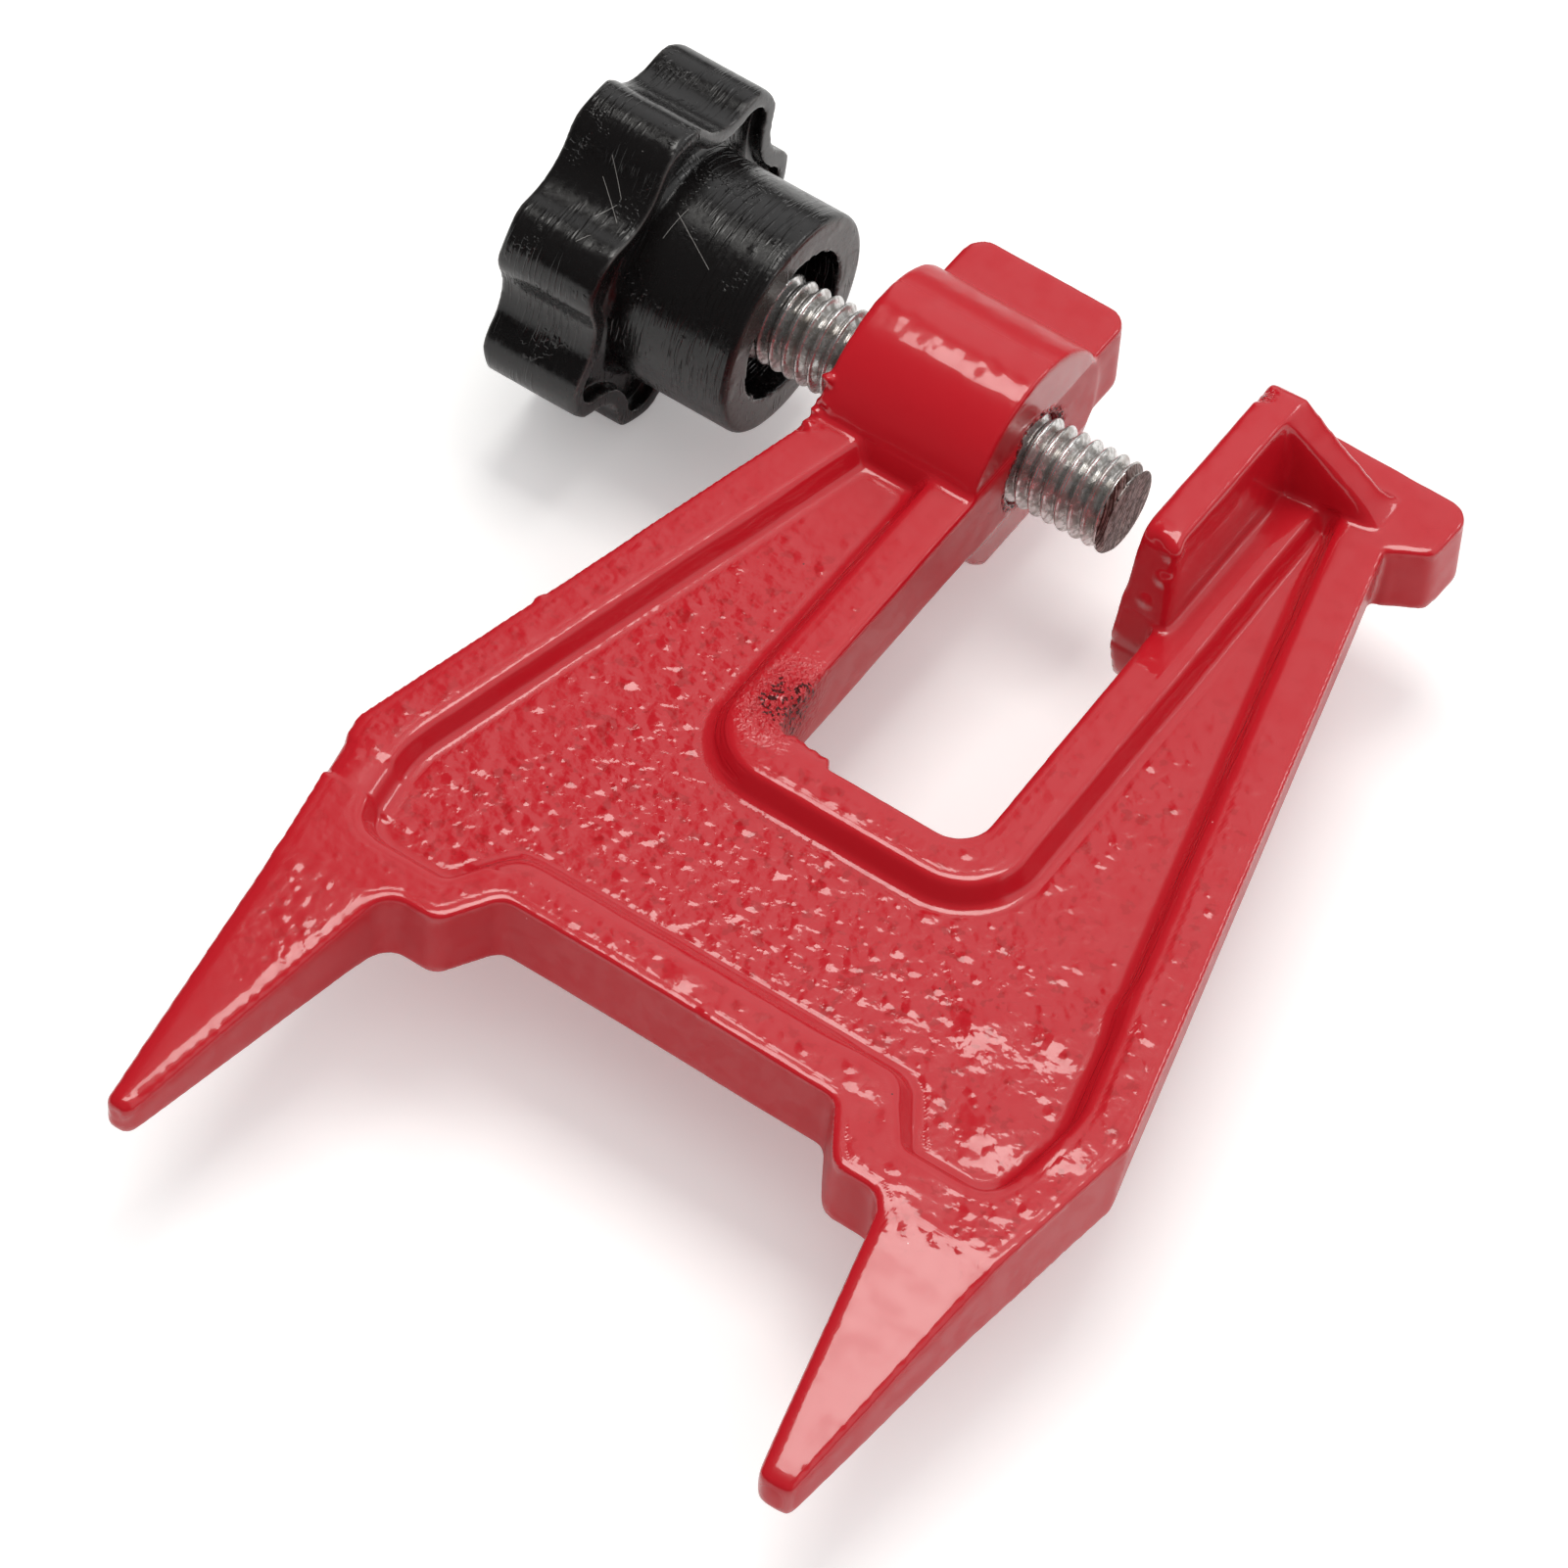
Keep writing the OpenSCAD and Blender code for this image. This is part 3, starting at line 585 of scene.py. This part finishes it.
# dots of dust, pinholes and painted glints: one in some of the cells of a grid, each of a size in
# millimetres
dots_group, dots_in, dots_out = node_group(
    "dots", (("Spacing", 4.0), ("Dot", 0.3), ("Share", 0.5)), "Mask")
dot_distance, dot_chosen = cell_grid(dots_group, dots_in)
dot_radius = number_node(
    dots_group, "MULTIPLY",
    number_node(dots_group, "DIVIDE", dots_in["Dot"], dots_in["Spacing"]), 0.5)
feed(dots_group, dots_out.inputs["Mask"],
     product(dots_group,
             number_node(dots_group, "LESS_THAN", dot_distance, dot_radius), dot_chosen))

# mounds of coarser grains under the enamel: low domes in some of the cells of a grid
mounds_group, mounds_in, mounds_out = node_group(
    "mounds", (("Spacing", 3.0), ("Share", 0.5)), "Height")
mound_distance, mound_chosen = cell_grid(mounds_group, mounds_in)
mound_dome = range_node(mounds_group, mound_distance, (0.5, 0.0), smooth=True)
feed(mounds_group, mounds_out.inputs["Height"], product(mounds_group, mound_dome, mound_chosen))

enamel_red = (0.52, 0.0075, 0.016)
thin_red = (0.42, 0.003, 0.008)
pinhole_red = (0.08, 0.004, 0.006)
# pink of the painted glints on the enamel
glint_pink = (0.75, 0.35, 0.36)
sand_brown = (0.07, 0.006, 0.006)
# heights of the grain in millimetres
wave_height = 0.13
pip_height = 0.03
grit_height = 0.13
fine_grit_height = 0.05
sand_height = 0.3
run_height = 0.07

enamel, enamel_tree, enamel_shader = new_material("red_enamel")
casting_mesh.materials.append(enamel)
on_casting = object_place(enamel_tree)
coarse_layer = layer_value(enamel_tree, "coarse")
burnt_layer = layer_value(enamel_tree, "burnt")
dull_layer = layer_value(enamel_tree, "dull")
runs_layer = layer_value(enamel_tree, "runs")


def enamel_grain(size, detail, low, high, vector=on_casting):
    return place_group(
        enamel_tree, grain_group, vector, Size=size, Detail=detail, Low=low, High=high)


waves = enamel_grain(2.6, 1.0, 0.0, 1.0)
pips = enamel_grain(0.9, 1.5, 0.0, 1.0)
grit = place_group(enamel_tree, mounds_group, on_casting, Spacing=3.1, Share=0.55)
fine_grit = place_group(enamel_tree, mounds_group, on_casting, Spacing=1.5, Share=0.2)
sand = enamel_grain(0.65, 3.0, 0.35, 0.65)
level_lines = vector_node(enamel_tree, "MULTIPLY", on_casting, (0.1, 0.1, 1.0))["Vector"]
run_lines = enamel_grain(0.6, 1.0, 0.35, 0.6, level_lines)
grain_height = summed(
    enamel_tree,
    product(enamel_tree, waves, wave_height),
    product(enamel_tree, pips, pip_height),
    product(enamel_tree, grit, grit_height),
    product(enamel_tree, fine_grit, fine_grit_height))
bumped(enamel_tree, summed(
    enamel_tree,
    product(enamel_tree, grain_height, coarse_layer),
    product(enamel_tree, run_lines, run_height, runs_layer),
    product(enamel_tree, sand, sand_height, burnt_layer)), enamel_shader)

# where the enamel is thin the dark iron shows through a little
thin = product(enamel_tree, enamel_grain(1.7, 2.0, 0.58, 0.66), coarse_layer)
pinholes = place_group(enamel_tree, dots_group, on_casting, Spacing=7.0, Dot=0.25, Share=0.5)
# pink dots on the enamel: painted glints, as of light caught on grains
painted_glints = place_group(enamel_tree, dots_group, on_casting, Spacing=4.5, Dot=0.26, Share=0.3)
bare_sand = product(
    enamel_tree, enamel_grain(0.6, 2.0, 0.53, 0.58),
    number_node(enamel_tree, "GREATER_THAN", burnt_layer, 0.6))
enamel_colour = mixed_colour(enamel_tree, thin, enamel_red, thin_red)
enamel_colour = mixed_colour(enamel_tree, pinholes, enamel_colour, pinhole_red)
enamel_colour = mixed_colour(enamel_tree, painted_glints, enamel_colour, glint_pink)
enamel_colour = mixed_colour(enamel_tree, bare_sand, enamel_colour, sand_brown)
feed(enamel_tree, enamel_shader.inputs["Base Color"], enamel_colour)
enamel_shader.inputs["Specular IOR Level"].default_value = 0.3
enamel_shader.inputs["Coat Roughness"].default_value = 0.045
# the gloss is uneven, weak on the steep walls and gone on the bare sand
haze = enamel_grain(3.4, 4.0, 0.4, 0.68)
gloss = number_node(enamel_tree, "SUBTRACT", 0.88, product(enamel_tree, haze, 0.24))
gloss = number_node(enamel_tree, "SUBTRACT", gloss, product(enamel_tree, bare_sand, 0.8))
gloss = number_node(enamel_tree, "SUBTRACT", gloss, product(enamel_tree, dull_layer, 0.72))
feed(enamel_tree, enamel_shader.inputs["Coat Weight"], gloss)
feed(enamel_tree, enamel_shader.inputs["Roughness"],
     range_node(enamel_tree, dull_layer, (0.0, 1.0), (0.24, 0.34)))


# Screw. A half inch rod with a rolled coarse thread, zinc plated, cut off square at both ends.
# The tip bears on the guide bar, and the other end is seated in the knob.
screw_low, screw_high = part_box("clamp_screw")
screw_axis = Vector((0, (screw_low.y + screw_high.y) / 2, (screw_low.z + screw_high.z) / 2))
thread_pitch = 1.954
crest_r = 6.15
root_r = 5.0
# shares of the pitch that the crest's flat and the two flanks take
crest_flat = 0.12
flanks = 0.8
end_chamfer = 0.45
rod_wear = 0.025
points_round = 72
rows_per_pitch = 14
end_rings = 12
zinc_bright = (0.84, 0.84, 0.83)
zinc_mottled = (0.52, 0.51, 0.49)
zinc_stained = (0.42, 0.39, 0.36)
# dark zinc of the painted shade in the thread roots
root_shade_dark = (0.2, 0.17, 0.155)
sawn_bright = (0.55, 0.47, 0.44)
sawn_rust = (0.14, 0.085, 0.07)
saw_groove = (0.05, 0.03, 0.026)
saw_depth = 0.08


def thread_radius(phase):
    """Radius over one pitch: a rounded crest, straight flanks and a narrow root."""
    from_crest = np.abs((phase % 1.0) - 0.5) * 2
    depth = np.clip((1 - from_crest - crest_flat) / flanks, 0, 1)
    return crest_r - (crest_r - root_r) * (0.5 * depth + 0.5 * depth * depth * (3 - 2 * depth))


def rod_points(xs, radius, turns):
    """Points at a distance along the rod, from its axis and round it, a little worn."""
    even = np.stack([xs, radius * np.cos(turns), radius * np.sin(turns)], axis=-1).reshape(-1, 3)
    wear = relief(even, (0.9, rod_wear, 21)).reshape(xs.shape)
    radius = np.minimum(radius + wear, crest_r)
    return np.stack([
        xs,
        screw_axis.y / mm + radius * np.cos(turns),
        screw_axis.z / mm + radius * np.sin(turns),
    ], axis=-1)


tip_x = screw_high.x / mm
rows = int((screw_high.x - screw_low.x) / mm / thread_pitch * rows_per_pitch) + 1
along = np.linspace(screw_low.x / mm, tip_x, rows)
turn = np.linspace(0, 2 * math.pi, points_round, endpoint=False)
xs, turns = np.meshgrid(along, turn, indexing="ij")
radius = thread_radius(xs / thread_pitch - turns / (2 * math.pi))
radius = np.minimum(radius, crest_r - np.clip(xs - (tip_x - end_chamfer), 0, None))
shank = rod_points(xs, radius, turns)
# the sawn end face, a little hollow and scored round
share = np.linspace(0.94, 0.02, end_rings)[:, None] * np.ones(points_round)
score = 0.05 + 0.06 * np.sin(share * 34) + 0.05 * np.sin(share * 11 + 2 * np.cos(turn))
end_face = rod_points(tip_x - score * (1 - share * 0.6), share * radius[-1], turn + 0 * share)
screw_points = np.concatenate([shank, end_face]).reshape(-1, 3)
last_row = rows + end_rings - 1
faces = []
for i in range(last_row):
    for j in range(points_round):
        k = (j + 1) % points_round
        faces.append((i * points_round + j, i * points_round + k,
                      (i + 1) * points_round + k, (i + 1) * points_round + j))
faces.append(tuple(range(points_round))[::-1])
faces.append(tuple(last_row * points_round + j for j in range(points_round)))
screw_mesh = bpy.data.meshes.new("threaded_rod")
screw_mesh.from_pydata([tuple(p) for p in screw_points * mm], [], faces)
screw_mesh.shade_smooth()
screw_mesh.validate()
# painted shade: the zinc is darker towards the thread roots
painted_root_shade = np.zeros(len(screw_points))
painted_root_shade[:radius.size] = ease(radius, crest_r - 0.8, root_r + 0.05).ravel()
add_layer(screw_mesh, "painted_root_shade", painted_root_shade)
rod = bpy.data.objects.new("threaded_rod", screw_mesh)
bpy.context.scene.collection.objects.link(rod)
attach(rod, "screw")
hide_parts("clamp_screw")

zinc, zinc_tree, zinc_shader = new_material("zinc_plate")
zinc_shader.inputs["Metallic"].default_value = 0.85
screw_mesh.materials.append(zinc)
on_rod = object_place(zinc_tree)
mottle = place_group(zinc_tree, grain_group, on_rod, Size=0.9, Detail=3.0, Low=0.42, High=0.62)
stain = place_group(zinc_tree, grain_group, on_rod, Size=3.0, Detail=2.0, Low=0.5, High=0.75)
# painted shade in the thread roots
in_roots = product(zinc_tree, layer_value(zinc_tree, "painted_root_shade"), 0.6)
zinc_colour = mixed_colour(zinc_tree, mottle, zinc_bright, zinc_mottled)
zinc_colour = mixed_colour(zinc_tree, stain, zinc_colour, zinc_stained)
zinc_colour = mixed_colour(zinc_tree, in_roots, zinc_colour, root_shade_dark)
feed(zinc_tree, zinc_shader.inputs["Base Color"], zinc_colour)
feed(zinc_tree, zinc_shader.inputs["Roughness"],
     range_node(zinc_tree, mottle, (0.0, 1.0), (0.2, 0.36)))
bumped(zinc_tree, product(zinc_tree, mottle, 0.012), zinc_shader)

# the end face and the last flanks are bare steel with the saw's curved marks and a little rust
sawn, sawn_tree, sawn_shader = new_material("sawn_steel")
sawn_shader.inputs["Metallic"].default_value = 0.55
sawn_shader.inputs["Roughness"].default_value = 0.4
screw_mesh.materials.append(sawn)
on_end = object_place(sawn_tree)
blade_centre = Vector((screw_high.x, screw_axis.y + 16 * mm, screw_axis.z - 9 * mm))
from_blade = vector_node(sawn_tree, "SUBTRACT", on_end, blade_centre)["Vector"]
saw_marks = place_group(
    sawn_tree, grain_group, vector_node(sawn_tree, "LENGTH", from_blade)["Value"],
    Size=0.42, Detail=2.0, Low=0.4, High=0.6)
rust = place_group(sawn_tree, grain_group, on_end, Size=0.8, Detail=3.0, Low=0.4, High=0.62)
sawn_colour = mixed_colour(sawn_tree, rust, sawn_bright, sawn_rust)
feed(sawn_tree, sawn_shader.inputs["Base Color"],
     mixed_colour(sawn_tree, saw_marks, sawn_colour, saw_groove))
bumped(sawn_tree, product(sawn_tree, saw_marks, saw_depth), sawn_shader)
for face in screw_mesh.polygons:
    from_end = (screw_high.x - face.center.x) / mm
    face.material_index = int(from_end < 0.2 or (from_end < 1.3 and face.normal.x > 0.3))


# Knob. Black plastic moulded round the end of the screw: a dished grip with seven lobes and a
# round hub with a deep recess. The mould left a fine seam, and handling has scratched it.
knob_voxel = 0.3
knob_tight_rounds = 3
knob_round_rounds = 16
mouth_radius = 9.8
plastic_black = (0.0075, 0.0065, 0.0065)
cut_plastic = (0.045, 0.037, 0.034)
# grey of the painted highlight on the knob's rims
rim_highlight_grey = (0.15, 0.14, 0.135)
scratch_grey = (0.22, 0.21, 0.2)
scratch_width = 0.08
# scratches: a place in millimetres, the direction across the scratch and its reach
scratch_marks = [
    ((-72.4, 88.8, 17.7), (-0.66, -0.67, -0.34), 3.2),
    ((-72.1, 87.4, 17.2), (0.87, -0.48, -0.15), 1.6),
    ((-72.1, 82.5, 16.6), (0.87, -0.48, -0.15), 1.0),
    ((-62.0, 92.2, 14.0), (-0.5, -0.79, -0.35), 4.4),
    ((-65.3, 93.0, 14.5), (0.95, -0.2, 0.2), 2.5),
    ((-73.2, 91.5, 19.0), (-0.75, -0.6, -0.28), 3.0),
]

knob = remeshed("knob", "star_knob", knob_voxel)
knob_raw = points_of(knob.data)
knob_points = smoothed(knob.data, knob_raw, knob_tight_rounds)
knob_round = smoothed(knob.data, knob_raw, knob_round_rounds)
put_points(knob.data, knob_points)
knob_out = normals_of(knob.data)
knob_bulge = np.einsum("ij,ij->i", knob_points - knob_round, knob_out)
knob_points = blended(knob_points, knob_round, 0.1 + 0.2 * ease(-knob_bulge, 0.03, 0.2))
knob_low, knob_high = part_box("star_knob")
hub_end = knob_high.x / mm
knob_from_axis = np.hypot(
    knob_points[:, 1] - screw_axis.y / mm, knob_points[:, 2] - screw_axis.z / mm)
# worn, slightly raised edges, soft waves from shrinking and crumbs of flash at the recess's mouth
rim = ease(knob_bulge, 0.08, 0.25)
lift = rim * (0.03 + relief(knob_points, (0.8, 0.07, 31))) + relief(knob_points, (6, 0.05, 32))
mouth = beside(knob_points[:, 0], hub_end, 0.3, 1.2)
mouth = mouth * beside(knob_from_axis, mouth_radius, 0.4, 1.4)
lift += mouth * np.maximum(ripple(knob_points, 1.0, 33) - 0.1, 0) * 0.9
knob_points = pushed(knob_points, knob_out, lift)
knob_points = np.clip(knob_points, np.array(knob_low) / mm + box_margin, np.array(knob_high) / mm)
put_points(knob.data, knob_points)
cut_end = ease(knob_points[:, 0], hub_end - 0.5, hub_end - 0.2) * ease(knob_out[:, 0], 0.7, 0.95)
# the rims' colour is lightened: a painted highlight along the edges
add_layer(knob.data, "rim_highlight", rim)
add_layer(knob.data, "cut_end", cut_end)
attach(knob, "screw")
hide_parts("star_knob")

# a scratch: a thin line where a plane through a place cuts the surface, as long as its reach
hairline_group, hairline_in, hairline_out = node_group(
    "hairline", (("Reach", 4.0), ("Width", 0.14)), "Mask")
for label in ("Centre", "Across"):
    hairline_group.interface.new_socket(label, in_out="INPUT", socket_type="NodeSocketVector")
offset = vector_node(
    hairline_group, "SUBTRACT", hairline_in["Vector"], hairline_in["Centre"])["Vector"]
across = vector_node(hairline_group, "DOT_PRODUCT", offset, hairline_in["Across"])["Value"]
in_line = number_node(
    hairline_group, "LESS_THAN", number_node(hairline_group, "ABSOLUTE", across),
    number_node(hairline_group, "MULTIPLY", hairline_in["Width"], 0.5))
in_reach = number_node(
    hairline_group, "LESS_THAN", vector_node(hairline_group, "LENGTH", offset)["Value"],
    hairline_in["Reach"])
feed(hairline_group, hairline_out.inputs["Mask"], product(hairline_group, in_line, in_reach))

plastic, plastic_tree, plastic_shader = new_material("black_plastic")
knob.data.materials.append(plastic)
on_knob = object_place(plastic_tree)


def plastic_grain(vector, size, detail, low, high):
    return place_group(
        plastic_tree, grain_group, vector, Size=size, Detail=detail, Low=low, High=high)


# turning lines round the screw's axis and slanted hatching, both in patches
drawn_out = vector_node(plastic_tree, "MULTIPLY", on_knob, (1.0, 0.07, 0.07))["Vector"]
slanted = vector_node(plastic_tree, "MULTIPLY", on_knob, (0.6, 1.0, 0.08))["Vector"]
turning = plastic_grain(drawn_out, 0.42, 1.0, 0.5, 0.62)
hatching = plastic_grain(slanted, 0.5, 1.0, 0.52, 0.66)
turned_patches = plastic_grain(on_knob, 9.0, 2.0, 0.42, 0.6)
hatched_patches = plastic_grain(on_knob, 7.0, 2.0, 0.55, 0.62)
pitted = plastic_grain(on_knob, 0.7, 3.0, 0.3, 0.7)
lines = summed(
    plastic_tree, product(plastic_tree, turning, turned_patches),
    product(plastic_tree, hatching, hatched_patches))
bumped(plastic_tree, summed(
    plastic_tree, product(plastic_tree, lines, 0.07),
    product(plastic_tree, pitted, 0.003)), plastic_shader)
marks = place_group(plastic_tree, dots_group, on_knob, Spacing=3.4, Dot=0.16, Share=0.3)
for centre, direction, reach in scratch_marks:
    scratch = place_group(
        plastic_tree, hairline_group, on_knob, Reach=reach * mm, Width=scratch_width * mm,
        Centre=Vector(centre) * mm, Across=Vector(direction).normalized())
    marks = number_node(plastic_tree, "MAXIMUM", marks, scratch)
# painted highlight: the rims are lightened
rim_highlight = product(plastic_tree, layer_value(plastic_tree, "rim_highlight"), 0.7)
plastic_colour = mixed_colour(
    plastic_tree, layer_value(plastic_tree, "cut_end"), plastic_black, cut_plastic)
plastic_colour = mixed_colour(plastic_tree, rim_highlight, plastic_colour, rim_highlight_grey)
plastic_colour = mixed_colour(plastic_tree, marks, plastic_colour, scratch_grey)
feed(plastic_tree, plastic_shader.inputs["Base Color"], plastic_colour)
feed(plastic_tree, plastic_shader.inputs["Roughness"],
     range_node(plastic_tree, pitted, (0.0, 1.0), (0.17, 0.28)))


# Insert. A plain steel bush in the bottom of the hub's recess, which grips the screw. It was
# turned from bar and shows only as a dull ring.
steel, _, steel_shader = new_material("plain_steel")
steel_shader.inputs["Base Color"].default_value = (0.5, 0.5, 0.5, 1)
steel_shader.inputs["Metallic"].default_value = 1
steel_shader.inputs["Roughness"].default_value = 0.35
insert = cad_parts["knob_insert"]
insert.data.materials.clear()
insert.data.materials.append(steel)
